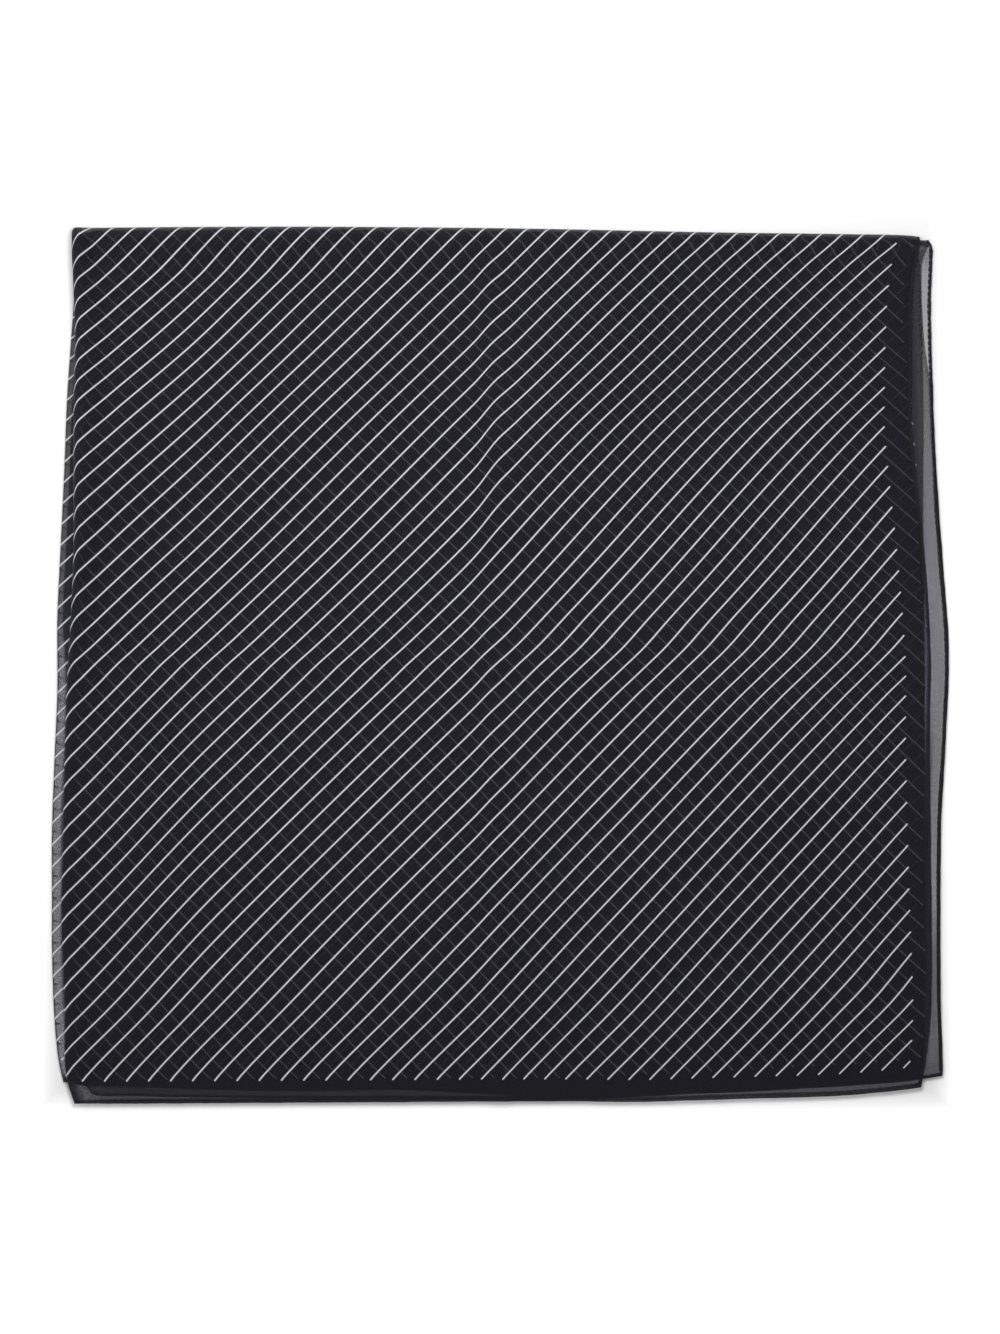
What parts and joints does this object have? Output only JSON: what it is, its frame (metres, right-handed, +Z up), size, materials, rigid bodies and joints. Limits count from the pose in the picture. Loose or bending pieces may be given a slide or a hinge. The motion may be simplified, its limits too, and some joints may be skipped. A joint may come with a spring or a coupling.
{
  "type": "folded striped scarf",
  "caption": "Square sheer dark scarf with narrow light diagonal stripes and a rolled hem, folded in half twice and laid flat.",
  "frame": {"origin": "on the table, below the middle of the folded scarf", "axes": "+Z up from the table, +Y towards the top fold, +X away from the left folds towards the loose side hems"},
  "size_m": [0.4672, 0.4562, 0.0107],
  "materials": {
    "chiffon": "matt sheer weave, near black, with narrow off-white diagonal stripes and a plain border"
  },
  "bodies": {
    "root": {"scarf": "chiffon"}
  },
  "joints": []
}
